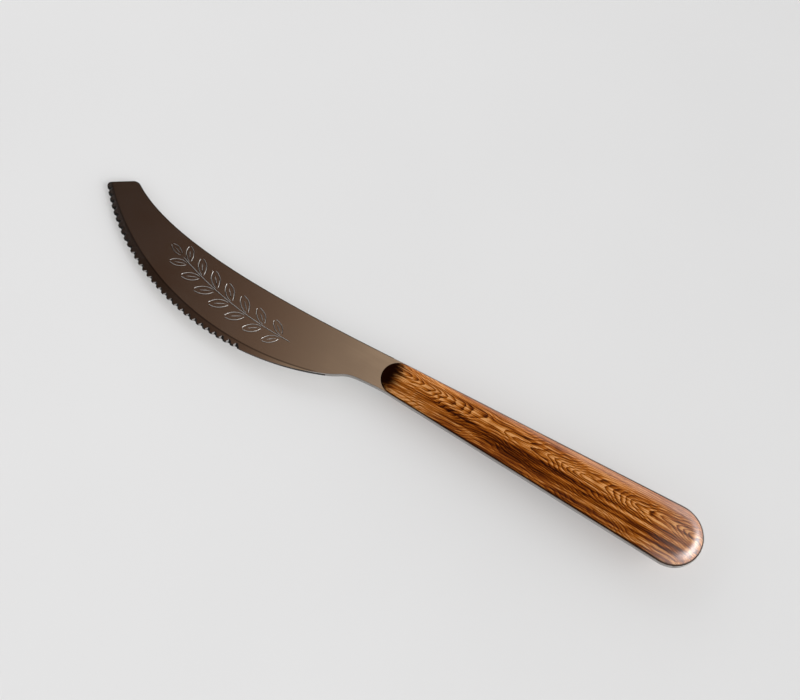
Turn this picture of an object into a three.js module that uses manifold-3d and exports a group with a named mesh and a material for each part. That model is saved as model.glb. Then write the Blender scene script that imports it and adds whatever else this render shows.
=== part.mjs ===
// Pizza knife: a curved, toothed steel blade on a full tang, with a wood scale on each side.
// Millimetres. +X runs from the blade to the butt, +Y to the spine's side, +Z up.
// The origin lies on the lower scale's flat face, midway along the scales.

import * as THREE from 'three';
import { mergeVertices } from 'three/addons/utils/BufferGeometryUtils.js';
import Module from 'manifold-3d';

// Wood scales: a tapered outline with a round front and a wider round butt
const SCALE_LENGTH = 109;
const FRONT_RADIUS = 5.5;
const BUTT_RADIUS = 9.3;
const SCALE_THICKNESS = 3.2;
const ROUNDING_WIDTH = 4.5;
const ROUNDING_START = THREE.MathUtils.degToRad(45);
const FRONT_FLAT_RADIUS = 1;

// Steel sheet: its tang stands proud of the scales as a rim that widens to the butt
const STEEL_THICKNESS = 1.5;
const FRONT_RIM_WIDTH = 0.33;
const BUTT_RIM_WIDTH = 0.5;

// Adhesive between the tang and each scale
const BOND_THICKNESS = 0.1;
const BOND_SETBACK = 0.2;

// Hidden pins that locate the scales on the tang
const PIN_NAMES = ['front_pin', 'middle_pin', 'rear_pin'];
const PIN_RADIUS = 1.5;
const PIN_END_DISTANCE = 18.5;
const PIN_CLEARANCE = 0.1;
const PIN_END_CLEARANCE = 0.2;
const PIN_COVER = 1.2;

// Blade: lengths forward are counted from the front of the scales towards the tip
const BLADE_LENGTH = 111.6;

// Cutting edge: one arc from the tip to the heel
const EDGE_RADIUS = 86.2;
const BELLY_FORWARD = 48.5;
const BELLY_DEPTH = 17.3;
const HEEL_FORWARD = 14.7;

// Tip: a straight slanted cut from the edge up to the spine
const TIP_CUT_LENGTH = 10.35;
const TIP_CUT_ANGLE = THREE.MathUtils.degToRad(34.8);
const TIP_SPINE_SETBACK = 1.8;
const TIP_EDGE_SETBACK = 2;

// Spine: one curve that leaves along the handle and sweeps up to the tip
const SPINE_NECK_REACH = 36;
const SPINE_NECK_ANGLE = THREE.MathUtils.degToRad(2.9);
const SPINE_TIP_REACH = 28;
const SPINE_TIP_ANGLE = THREE.MathUtils.degToRad(-31);

// Neck: the narrow stretch between the heel and the scales
const NECK_FORWARD = 5.5;
const NECK_DEPTH = 6.4;
const NECK_ANGLE = THREE.MathUtils.degToRad(6);
const HEEL_REACH = 4.6;
const NECK_REACH = 3;

// Grind: a conical bevel on both faces, widest at the belly, that fades out at the heel
const BELLY_BEVEL_WIDTH = 2.3;
const TIP_BEVEL_WIDTH = 1.6;
const EDGE_THICKNESS = 0.5;

// Teeth: rounded teeth parted by rounded notches, counted along the edge from the tip
const TOOTH_COUNT = 29;
const TOOTH_PITCH = 2.62;
const FIRST_NOTCH = 2.7;
const NOTCH_DEPTH = 0.85;
const NOTCH_WIDTH = 2.4;
const NOTCH_THROAT = 0.9;

// Fineness of curved outlines, and how far cutting shapes run past what they cut
const CURVE_STEPS = 20;
const NOTCH_STEPS = 5;
const ROUNDING_STEPS = 12;
const PIN_SIDES = 28;
const GRIND_SIDES = 240;
const OVERCUT = 2;

// Places that follow from the sizes above
const FRONT_X = -SCALE_LENGTH / 2;
const FRONT_CENTRE = FRONT_X + FRONT_RADIUS;
const BUTT_CENTRE = SCALE_LENGTH / 2 - BUTT_RADIUS;
const HANDLE_TAPER = taper(FRONT_RADIUS, BUTT_RADIUS);
const TANG_FRONT_RADIUS = FRONT_RADIUS + FRONT_RIM_WIDTH;
const TANG_BUTT_RADIUS = BUTT_RADIUS + BUTT_RIM_WIDTH;
const TANG_TAPER = taper(TANG_FRONT_RADIUS, TANG_BUTT_RADIUS);
const TANG_BOTTOM = SCALE_THICKNESS + BOND_THICKNESS;
const TANG_MIDDLE = TANG_BOTTOM + STEEL_THICKNESS / 2;
const TANG_TOP = TANG_BOTTOM + STEEL_THICKNESS;
const EDGE_CENTRE = new THREE.Vector2(FRONT_X - BELLY_FORWARD, EDGE_RADIUS - BELLY_DEPTH);
const TIP_TURN = edgeTurn(BLADE_LENGTH);
const HEEL_TURN = edgeTurn(HEEL_FORWARD);
const PIN_PITCH = (SCALE_LENGTH - 2 * PIN_END_DISTANCE) / (PIN_NAMES.length - 1);
const PIN_HOLE_RADIUS = PIN_RADIUS + PIN_CLEARANCE;
const PIN_HOLE_DEPTH = SCALE_THICKNESS - PIN_COVER;

const wasm = await Module();
wasm.setup();

// Closed three.js geometry to a solid that can be joined and cut
function toSolid(geometry) {
  geometry.deleteAttribute('normal');
  geometry.deleteAttribute('uv');
  const merged = mergeVertices(geometry);
  const vertProperties = new Float32Array(merged.attributes.position.array);
  const triVerts = new Uint32Array(merged.index.array);
  return new wasm.Manifold(new wasm.Mesh({ numProp: 3, vertProperties, triVerts }));
}

// Solid back to three.js geometry
function toGeometry(solid) {
  const { vertProperties, triVerts } = solid.getMesh();
  const geometry = new THREE.BufferGeometry();
  geometry.setAttribute('position', new THREE.BufferAttribute(vertProperties, 3));
  geometry.setIndex(new THREE.BufferAttribute(triVerts, 1));
  geometry.computeVertexNormals();
  return geometry;
}

// Point at a distance from another, in a direction given as an angle from +X
function offset(point, angle, distance) {
  return new THREE.Vector2(distance * Math.cos(angle), distance * Math.sin(angle)).add(point);
}

// Angle between the centre line and a straight side that touches both end circles
function taper(frontRadius, buttRadius) {
  return Math.asin((buttRadius - frontRadius) / (BUTT_CENTRE - FRONT_CENTRE));
}

// Angle about the edge arc's centre, from straight down, of the edge point this far forward
function edgeTurn(forward) {
  return Math.asin((BELLY_FORWARD - forward) / EDGE_RADIUS);
}

// Point on the cutting edge at an angle about the edge arc's centre
function edgePoint(turn) {
  return offset(EDGE_CENTRE, turn - Math.PI / 2, EDGE_RADIUS);
}

// Tapered outline with round ends, grown or shrunk evenly from the scales' own outline
function handleOutline(growth) {
  const shape = new THREE.Shape();
  const turn = Math.PI / 2 + HANDLE_TAPER;
  shape.absarc(BUTT_CENTRE, 0, BUTT_RADIUS + growth, -turn, turn, false);
  shape.absarc(FRONT_CENTRE, 0, FRONT_RADIUS + growth, turn, 2 * Math.PI - turn, false);
  shape.closePath();
  return shape;
}

// Side view of the whole stamping: tang, neck, spine, tip, cutting edge and heel
function bladeOutline() {
  const shape = new THREE.Shape();
  const turn = Math.PI / 2 + TANG_TAPER;
  const upperShoulder = offset(new THREE.Vector2(FRONT_CENTRE, 0), turn, TANG_FRONT_RADIUS);
  const lowerShoulder = offset(new THREE.Vector2(FRONT_CENTRE, 0), -turn, TANG_FRONT_RADIUS);
  shape.absarc(BUTT_CENTRE, 0, TANG_BUTT_RADIUS, -turn, turn, false);
  shape.lineTo(upperShoulder.x, upperShoulder.y);

  const edgeCorner = edgePoint(TIP_TURN);
  const spineCorner = offset(edgeCorner, TIP_CUT_ANGLE, TIP_CUT_LENGTH);
  const spineEnd = offset(spineCorner, SPINE_TIP_ANGLE, TIP_SPINE_SETBACK);
  const neckPull = offset(upperShoulder, Math.PI + SPINE_NECK_ANGLE, SPINE_NECK_REACH);
  const tipPull = offset(spineCorner, SPINE_TIP_ANGLE, SPINE_TIP_REACH);
  shape.bezierCurveTo(neckPull.x, neckPull.y, tipPull.x, tipPull.y, spineEnd.x, spineEnd.y);

  const cutStart = offset(spineCorner, TIP_CUT_ANGLE, -TIP_SPINE_SETBACK);
  const cutEnd = offset(edgeCorner, TIP_CUT_ANGLE, TIP_EDGE_SETBACK);
  const edgeStart = TIP_TURN + TIP_EDGE_SETBACK / EDGE_RADIUS;
  const edgeStartPoint = edgePoint(edgeStart);
  shape.quadraticCurveTo(spineCorner.x, spineCorner.y, cutStart.x, cutStart.y);
  shape.lineTo(cutEnd.x, cutEnd.y);
  shape.quadraticCurveTo(edgeCorner.x, edgeCorner.y, edgeStartPoint.x, edgeStartPoint.y);

  const quarter = Math.PI / 2;
  shape.absarc(EDGE_CENTRE.x, EDGE_CENTRE.y, EDGE_RADIUS, edgeStart - quarter, HEEL_TURN - quarter, false);

  const neck = new THREE.Vector2(FRONT_X - NECK_FORWARD, -NECK_DEPTH);
  const heelPull = offset(edgePoint(HEEL_TURN), HEEL_TURN, HEEL_REACH);
  const neckBackPull = offset(neck, NECK_ANGLE, -HEEL_REACH);
  const neckPullOut = offset(neck, NECK_ANGLE, NECK_REACH);
  const shoulderPull = offset(lowerShoulder, Math.PI - TANG_TAPER, NECK_REACH);
  shape.bezierCurveTo(heelPull.x, heelPull.y, neckBackPull.x, neckBackPull.y, neck.x, neck.y);
  shape.bezierCurveTo(
    neckPullOut.x, neckPullOut.y,
    shoulderPull.x, shoulderPull.y,
    lowerShoulder.x, lowerShoulder.y,
  );
  shape.closePath();
  return shape;
}

// Flat plate of an outline, centred on z = 0
function plate(outline, thickness) {
  const geometry = new THREE.ExtrudeGeometry(outline, {
    depth: thickness,
    bevelEnabled: false,
    curveSegments: CURVE_STEPS,
  });
  geometry.translate(0, 0, -thickness / 2);
  return toSolid(geometry);
}

// Centre of the circle through three points
function circleCentre(first, second, third) {
  const toSecond = second.clone().sub(first);
  const toThird = third.clone().sub(first);
  const twice = 2 * toSecond.cross(toThird);
  const x = (toThird.y * toSecond.lengthSq() - toSecond.y * toThird.lengthSq()) / twice;
  const y = (toSecond.x * toThird.lengthSq() - toThird.x * toSecond.lengthSq()) / twice;
  return new THREE.Vector2(x, y).add(first);
}

// Conical ring that grinds the upper or lower bevel, kept to the stretch between tip and heel
function grindCutter(isUpper) {
  const heel = edgePoint(HEEL_TURN);
  const belly = offset(edgePoint(0), Math.PI / 2, BELLY_BEVEL_WIDTH);
  const tip = offset(edgePoint(TIP_TURN), TIP_TURN + Math.PI / 2, TIP_BEVEL_WIDTH);
  const centre = circleCentre(heel, belly, tip);
  const radius = centre.distanceTo(heel);

  const slope = (STEEL_THICKNESS - EDGE_THICKNESS) / 2 / BELLY_BEVEL_WIDTH;
  const faceHeight = STEEL_THICKNESS / 2;
  const topHeight = faceHeight + OVERCUT * slope;
  const reach = BELLY_BEVEL_WIDTH + OVERCUT;
  const profile = [
    new THREE.Vector2(radius - OVERCUT, topHeight),
    new THREE.Vector2(radius + reach, faceHeight - reach * slope),
    new THREE.Vector2(radius + reach, topHeight),
    new THREE.Vector2(radius - OVERCUT, topHeight),
  ];
  const ring = new THREE.LatheGeometry(profile, GRIND_SIDES);
  ring.rotateX(isUpper ? Math.PI / 2 : -Math.PI / 2);
  ring.translate(centre.x, centre.y, 0);

  const left = FRONT_X - BLADE_LENGTH - OVERCUT;
  const right = FRONT_X - HEEL_FORWARD;
  const side = 2 * EDGE_RADIUS;
  const stretch = new THREE.BoxGeometry(right - left, side, side);
  stretch.translate((left + right) / 2, BELLY_DEPTH - side / 2, 0);
  return toSolid(ring).intersect(toSolid(stretch));
}

// Cutter that parts two teeth: a rounded bottom in from the edge, with sides that flare to the edge
function notchCutter(turn) {
  const throat = NOTCH_THROAT / 2;
  const mouth = NOTCH_WIDTH / 2;
  const outline = new THREE.Shape();
  outline.moveTo(0, -NOTCH_DEPTH);
  outline.bezierCurveTo(throat, -NOTCH_DEPTH, mouth - throat, 0, mouth, 0);
  outline.lineTo(mouth, OVERCUT);
  outline.lineTo(-mouth, OVERCUT);
  outline.lineTo(-mouth, 0);
  outline.bezierCurveTo(throat - mouth, 0, -throat, -NOTCH_DEPTH, 0, -NOTCH_DEPTH);
  const depth = STEEL_THICKNESS + 2 * OVERCUT;
  const geometry = new THREE.ExtrudeGeometry(outline, {
    depth,
    bevelEnabled: false,
    curveSegments: NOTCH_STEPS,
  });
  const place = edgePoint(turn);
  geometry.translate(0, 0, -depth / 2);
  geometry.rotateZ(turn + Math.PI);
  geometry.translate(place.x, place.y, 0);
  return toSolid(geometry);
}

// Round bar along Z at a pin's place, from one height to another
function pinBar(index, radius, low, high) {
  const geometry = new THREE.CylinderGeometry(radius, radius, high - low, PIN_SIDES);
  geometry.rotateX(Math.PI / 2);
  geometry.translate((index - (PIN_NAMES.length - 1) / 2) * PIN_PITCH, 0, (low + high) / 2);
  return toSolid(geometry);
}

// Cuts one hole for each pin
function cutPinHoles(solid, low, high) {
  return PIN_NAMES.reduce(
    (left, name, index) => left.subtract(pinBar(index, PIN_HOLE_RADIUS, low, high)),
    solid,
  );
}

// Blade, neck and tang in one piece of steel, with its middle plane on z = 0
function bladeSolid() {
  const blank = plate(bladeOutline(), STEEL_THICKNESS);
  let blade = blank.subtract(grindCutter(true)).subtract(grindCutter(false));
  for (let notch = 0; notch < TOOTH_COUNT; notch += 1) {
    const distance = FIRST_NOTCH + notch * TOOTH_PITCH;
    blade = blade.subtract(notchCutter(TIP_TURN + distance / EDGE_RADIUS));
  }
  return cutPinHoles(blade, -STEEL_THICKNESS, STEEL_THICKNESS);
}

// Wood scale with its flat inner face on z = 0 and its rounded side up, cut from a thicker bar
function scaleSolid() {
  const roundingWidth = Math.min(ROUNDING_WIDTH, FRONT_RADIUS - FRONT_FLAT_RADIUS);
  const barRise = SCALE_THICKNESS / (1 - Math.sin(ROUNDING_START));
  const bar = new THREE.ExtrudeGeometry(handleOutline(0), {
    depth: SCALE_THICKNESS,
    bevelThickness: barRise,
    bevelSize: roundingWidth / Math.cos(ROUNDING_START),
    bevelOffset: -roundingWidth,
    bevelSegments: ROUNDING_STEPS,
    curveSegments: CURVE_STEPS / 2,
  });
  bar.translate(0, 0, -barRise);
  const half = new THREE.BoxGeometry(2 * SCALE_LENGTH, SCALE_LENGTH, 2 * SCALE_THICKNESS);
  half.translate(0, 0, SCALE_THICKNESS);
  const scale = toSolid(bar).intersect(toSolid(half));
  return cutPinHoles(scale, -OVERCUT, PIN_HOLE_DEPTH);
}

// Adhesive film, a little smaller than the scale, with its middle plane on z = 0
function bondSolid() {
  return cutPinHoles(plate(handleOutline(-BOND_SETBACK), BOND_THICKNESS), -OVERCUT, OVERCUT);
}

// Pin that reaches through the tang into both scales, with its middle on z = 0
function pinSolid(index) {
  const reach = STEEL_THICKNESS / 2 + BOND_THICKNESS + PIN_HOLE_DEPTH - PIN_END_CLEARANCE;
  return pinBar(index, PIN_RADIUS, -reach, reach);
}

function polishedSteel() {
  return new THREE.MeshStandardMaterial({ color: 0x8f8780, roughness: 0.16, metalness: 1 });
}

function lacqueredWood() {
  return new THREE.MeshStandardMaterial({ color: 0x8a5428, roughness: 0.3, metalness: 0 });
}

function adhesive() {
  return new THREE.MeshStandardMaterial({ color: 0x2a2018, roughness: 0.6, metalness: 0 });
}

function pinSteel() {
  return new THREE.MeshStandardMaterial({ color: 0xa3a09c, roughness: 0.35, metalness: 1 });
}

// Named mesh at a height above the knife's resting face, turned over for the lower side
function piece(name, solid, material, height, isTurned = false) {
  const mesh = new THREE.Mesh(toGeometry(solid), material);
  mesh.name = name;
  mesh.position.z = height;
  mesh.rotation.x = isTurned ? Math.PI : 0;
  return mesh;
}

const knife = new THREE.Group();
knife.add(piece('blade', bladeSolid(), polishedSteel(), TANG_MIDDLE));
knife.add(piece('upper_bond_film', bondSolid(), adhesive(), TANG_TOP + BOND_THICKNESS / 2));
knife.add(piece('lower_bond_film', bondSolid(), adhesive(), TANG_BOTTOM - BOND_THICKNESS / 2));
knife.add(piece('upper_scale', scaleSolid(), lacqueredWood(), TANG_TOP + BOND_THICKNESS));
knife.add(piece('lower_scale', scaleSolid(), lacqueredWood(), SCALE_THICKNESS, true));
PIN_NAMES.forEach((name, index) => {
  knife.add(piece(name, pinSolid(index), pinSteel(), TANG_MIDDLE));
});

export default knife;
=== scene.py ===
"""Looks of a pizza knife: a polished toothed blade between two lacquered wood scales.

Sizes in the classes are millimetres in the part's frame: +X runs from the blade to the butt,
+Y to the spine's side and +Z up. Blender's own lengths are metres.
"""

import logging
import math
from dataclasses import astuple, dataclass
from enum import Enum, IntEnum

import bpy
from mathutils import Matrix, Vector


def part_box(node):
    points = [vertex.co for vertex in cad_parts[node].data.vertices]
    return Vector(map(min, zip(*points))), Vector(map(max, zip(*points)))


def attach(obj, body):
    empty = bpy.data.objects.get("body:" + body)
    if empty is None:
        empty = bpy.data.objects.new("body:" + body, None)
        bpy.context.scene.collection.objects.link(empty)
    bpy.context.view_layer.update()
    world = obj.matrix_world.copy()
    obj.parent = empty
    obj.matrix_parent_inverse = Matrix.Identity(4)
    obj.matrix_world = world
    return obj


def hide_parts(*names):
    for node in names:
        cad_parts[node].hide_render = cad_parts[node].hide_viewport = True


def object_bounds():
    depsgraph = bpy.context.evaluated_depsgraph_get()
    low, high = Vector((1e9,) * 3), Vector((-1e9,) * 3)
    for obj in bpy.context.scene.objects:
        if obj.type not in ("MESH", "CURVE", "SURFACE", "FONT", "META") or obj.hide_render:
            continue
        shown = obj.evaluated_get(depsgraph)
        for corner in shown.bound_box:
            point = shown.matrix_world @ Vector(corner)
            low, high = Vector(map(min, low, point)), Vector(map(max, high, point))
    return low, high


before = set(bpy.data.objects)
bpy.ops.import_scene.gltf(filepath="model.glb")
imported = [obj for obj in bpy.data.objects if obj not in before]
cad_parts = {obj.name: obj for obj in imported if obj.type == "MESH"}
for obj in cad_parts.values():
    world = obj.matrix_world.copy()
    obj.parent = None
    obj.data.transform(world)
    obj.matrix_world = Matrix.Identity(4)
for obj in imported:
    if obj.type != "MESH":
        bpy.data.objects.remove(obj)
CAD_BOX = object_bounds()

MM = 0.001
BODY = "root"
FRONT_RADIUS = 5.5
LOG = logging.getLogger("pizza_knife")

Point = tuple[float, float]
Colour = tuple[float, float, float]


def paint(red: int, green: int, blue: int) -> Colour:
    """Turns a colour as a screen shows it into the linear one that a shader takes.

    Args:
        red: Red from 0 to 255.
        green: Green from 0 to 255.
        blue: Blue from 0 to 255.

    Returns:
        The linear colour.
    """
    shares = (value / 255 for value in (red, green, blue))
    return tuple(s / 12.92 if s <= 0.04045 else ((s + 0.055) / 1.055) ** 2.4 for s in shares)


def polar(centre: Point, angle: float, distance: float) -> Point:
    """Gives the point at a distance from another, in a direction counted from +X.

    Args:
        centre: The point to start from.
        angle: Direction in radians.
        distance: Length in millimetres.

    Returns:
        The point.
    """
    return centre[0] + distance * math.cos(angle), centre[1] + distance * math.sin(angle)


def circle_centre(first: Point, second: Point, third: Point) -> Point:
    """Gives the centre of the circle through three points.

    Args:
        first: A point on the circle.
        second: Another point on it.
        third: A third point on it.

    Returns:
        The centre.
    """
    ax, ay = second[0] - first[0], second[1] - first[1]
    bx, by = third[0] - first[0], third[1] - first[1]
    twice = 2 * (ax * by - ay * bx)
    a_square, b_square = ax * ax + ay * ay, bx * bx + by * by
    return (
        first[0] + (by * a_square - ay * b_square) / twice,
        first[1] + (ax * b_square - bx * a_square) / twice,
    )


def curve_point(shape: list[Point], share: float) -> Point:
    """Gives a point on a curve that its inner points pull on.

    Args:
        shape: The curve's start, the points that pull on it, and its end.
        share: How far along the curve, from 0 to 1.

    Returns:
        The point.
    """
    points = shape
    while len(points) > 1:
        points = [
            (a[0] + (b[0] - a[0]) * share, a[1] + (b[1] - a[1]) * share)
            for a, b in zip(points, points[1:])
        ]
    return points[0]


# Shader maths

class Wire:
    """A shader socket's value, so that shader maths reads as arithmetic."""

    def __init__(self, sheet: "ShaderSheet", socket: bpy.types.NodeSocket) -> None:
        """Keeps the socket and the sheet of nodes that it is on."""
        self.sheet = sheet
        self.socket = socket

    def __add__(self, other: "Value") -> "Wire":
        """Adds a value."""
        return self.sheet.maths("ADD", self, other)

    def __radd__(self, other: float) -> "Wire":
        """Adds this to a number."""
        return self.sheet.maths("ADD", other, self)

    def __sub__(self, other: "Value") -> "Wire":
        """Takes a value away."""
        return self.sheet.maths("SUBTRACT", self, other)

    def __rsub__(self, other: float) -> "Wire":
        """Takes this away from a number."""
        return self.sheet.maths("SUBTRACT", other, self)

    def __mul__(self, other: "Value") -> "Wire":
        """Multiplies by a value."""
        return self.sheet.maths("MULTIPLY", self, other)

    def __truediv__(self, other: "Value") -> "Wire":
        """Divides by a value."""
        return self.sheet.maths("DIVIDE", self, other)

    def __pow__(self, exponent: float) -> "Wire":
        """Raises this to a power."""
        return self.sheet.maths("POWER", self, exponent)

    def fraction(self) -> "Wire":
        """Gives what is left over whole numbers."""
        return self.sheet.maths("FRACT", self)

    def exponential(self) -> "Wire":
        """Gives e to this power."""
        return self.sheet.maths("EXPONENT", self)

    def least(self, other: "Value") -> "Wire":
        """Gives the smaller of this and a value."""
        return self.sheet.maths("MINIMUM", self, other)

    def rise(self, low: float, high: float) -> "Wire":
        """Rises smoothly from 0 at one value to 1 at another.

        Args:
            low: The value where the rise starts.
            high: The value where it ends.

        Returns:
            The share from 0 to 1.
        """
        settings = {"interpolation_type": "SMOOTHSTEP"}
        inputs = {"Value": self, "From Min": low, "From Max": high}
        return self.sheet.add("ShaderNodeMapRange", settings, inputs)


Value = float | Colour | Wire


class ShaderSheet:
    """The nodes of one material or world."""

    def __init__(self, owner: bpy.types.Material | bpy.types.World) -> None:
        """Empties the owner's node tree.

        Args:
            owner: The material or world whose nodes these are.
        """
        owner.use_nodes = True
        self.tree = owner.node_tree
        self.tree.nodes.clear()

    def add(
        self,
        kind: str,
        settings: dict[str, object] | None = None,
        inputs: dict[str | int, Value] | None = None,
        output: str | int = 0,
    ) -> Wire:
        """Adds a node of any type.

        Args:
            kind: Blender's name of the node's type.
            settings: The node's own properties, or a ramp's stops, which are set first.
            inputs: Values or links by the sockets' names or numbers.
            output: The socket that the result is taken from.

        Returns:
            The result's wire.
        """
        node = self.tree.nodes.new(kind)
        for name, value in (settings or {}).items():
            if name == "stops":
                self.set_stops(node.color_ramp, value)
            else:
                setattr(node, name, value)
        for name, value in (inputs or {}).items():
            socket = node.inputs[name]
            if isinstance(value, Wire):
                self.tree.links.new(value.socket, socket)
            elif socket.type == "RGBA":
                socket.default_value = (*value, 1)
            else:
                socket.default_value = value
        return Wire(self, node.outputs[output]) if node.outputs else None

    @staticmethod
    def set_stops(ramp: bpy.types.ColorRamp, stops: list[tuple[float, Colour]]) -> None:
        """Sets a ramp's stops.

        Args:
            ramp: The ramp.
            stops: Places from 0 to 1 in rising order, each with its colour.
        """
        ramp.elements[0].position = stops[0][0]
        ramp.elements[-1].position = stops[-1][0]
        for place, _ in stops[1:-1]:
            ramp.elements.new(place)
        for element, (_, colour) in zip(ramp.elements, stops):
            element.color = (*colour, 1)

    def maths(self, operation: str, *values: Value) -> Wire:
        """Adds a Math node on values or links."""
        return self.add("ShaderNodeMath", {"operation": operation}, dict(enumerate(values)))

    def blend(self, share: Value, first: Value, second: Value) -> Wire:
        """Mixes two colours.

        Args:
            share: How much of the second colour there is, from 0 to 1.
            first: The colour at 0.
            second: The colour at 1.

        Returns:
            The mixed colour.
        """
        inputs = {0: share, 6: first, 7: second}
        return self.add("ShaderNodeMix", {"data_type": "RGBA"}, inputs, 2)

    def place(self) -> Wire:
        """Gives the point on the object, in metres."""
        return self.add("ShaderNodeTexCoord", output="Object")

    def axes(self, place: Wire) -> tuple[Wire, Wire, Wire]:
        """Parts a vector into its three numbers.

        Args:
            place: The vector.

        Returns:
            X, Y and Z.
        """
        split = self.add("ShaderNodeSeparateXYZ", inputs={"Vector": place}).socket.node
        return tuple(Wire(self, socket) for socket in split.outputs)

    def noise(self, size: Colour, detail: float = 2.0, shift: float = 0.0) -> Wire:
        """Adds cloudy noise on the object.

        Args:
            size: Length of the clouds along X, Y and Z in millimetres.
            detail: How many finer octaves are added.
            shift: How far the pattern is moved, in clouds.

        Returns:
            The noise, about 0.5 on average.
        """
        scale = tuple(1 / (length * MM) for length in size)
        inputs = {"Vector": self.place(), "Location": (shift, shift, shift), "Scale": scale}
        spot = self.add("ShaderNodeMapping", inputs=inputs)
        return self.add("ShaderNodeTexNoise", None, {"Vector": spot, "Scale": 1.0, "Detail": detail})

    def bump(self, height: Wire, depth: float) -> Wire:
        """Turns a height from 0 to 1 into a tilted normal.

        Args:
            height: The height.
            depth: What a height of 1 stands for, in millimetres.

        Returns:
            The normal.
        """
        inputs = {"Height": height, "Distance": depth * MM, "Strength": 1.0}
        return self.add("ShaderNodeBump", None, inputs)

    def seen(self) -> Wire:
        """Tells the rays that show a surface from the ones that only carry light.

        Returns:
            1 for rays from the camera, from a mirror or through something clear, and 0 for others.
        """
        rays = ("Is Camera Ray", "Is Glossy Ray", "Is Transmission Ray")
        camera, glossy, through = (self.add("ShaderNodeLightPath", output=ray) for ray in rays)
        return (camera + glossy + through).least(1.0)

    def close(self, shader: Wire, output: str = "ShaderNodeOutputMaterial") -> None:
        """Links the finished shader to the output."""
        self.add(output, None, {"Surface": shader})


# Finishes

@dataclass(frozen=True)
class Finish:
    """A named material."""

    name: str

    def surface(self, sheet: ShaderSheet) -> Wire:
        """Builds the shader on a sheet of nodes."""
        raise NotImplementedError

    def material(self) -> bpy.types.Material:
        """Makes the Blender material.

        Returns:
            The material.
        """
        made = bpy.data.materials.new(self.name)
        sheet = ShaderSheet(made)
        sheet.close(self.surface(sheet))
        return made


@dataclass(frozen=True)
class Steel(Finish):
    """Bare steel with fine drawn lines along X and faint smears."""

    light: Colour
    dark: Colour
    smooth: float
    rough: float

    def surface(self, sheet: ShaderSheet) -> Wire:
        """Builds metal whose colour and gloss change along fine lines.

        Args:
            sheet: The nodes.

        Returns:
            The shader.
        """
        lines = sheet.noise((30, 0.12, 2), detail=3)
        smears = sheet.noise((14, 9, 9), detail=2, shift=3.7)
        wear = (lines * 0.45 + smears * 0.55).rise(0.3, 0.7)
        inputs = {
            "Base Color": self.tint(sheet, wear),
            "Metallic": 1.0,
            "Roughness": self.rough - wear * (self.rough - self.smooth),
        }
        return sheet.add("ShaderNodeBsdfPrincipled", None, inputs)

    def tint(self, sheet: ShaderSheet, wear: Wire) -> Wire:
        """Gives the metal's colour, from dark to light with the wear."""
        return sheet.blend(wear, self.dark, self.light)


@dataclass(frozen=True)
class SteelWithPaintedGrindLine(Steel):
    """Steel with a painted dark line along an arc, standing in for the dark reflection at the grind
    line. Places are millimetres.
    """

    centre: Point
    radius: float
    last: float
    line_width: float = 0.2

    def tint(self, sheet: ShaderSheet, wear: Wire) -> Wire:
        """Gives the metal's colour, with a painted dark line on the grind line up to its last place
        along X.

        Args:
            sheet: The nodes.
            wear: How worn the metal is, from 0 to 1.

        Returns:
            The colour.
        """
        x, y, _ = (axis / MM for axis in sheet.axes(sheet.place()))
        aside, above = x - self.centre[0], y - self.centre[1]
        from_line = (aside * aside + above * above) ** 0.5 - self.radius
        # painted dark reflection along the crease where the bevel meets the flat
        painted_line = (from_line * from_line / -(self.line_width**2)).exponential()
        share = painted_line * (1 - x.rise(self.last - 5, self.last)) * 0.75
        return sheet.blend(share, super().tint(sheet, wear), (0.05, 0.04, 0.03))


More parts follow.
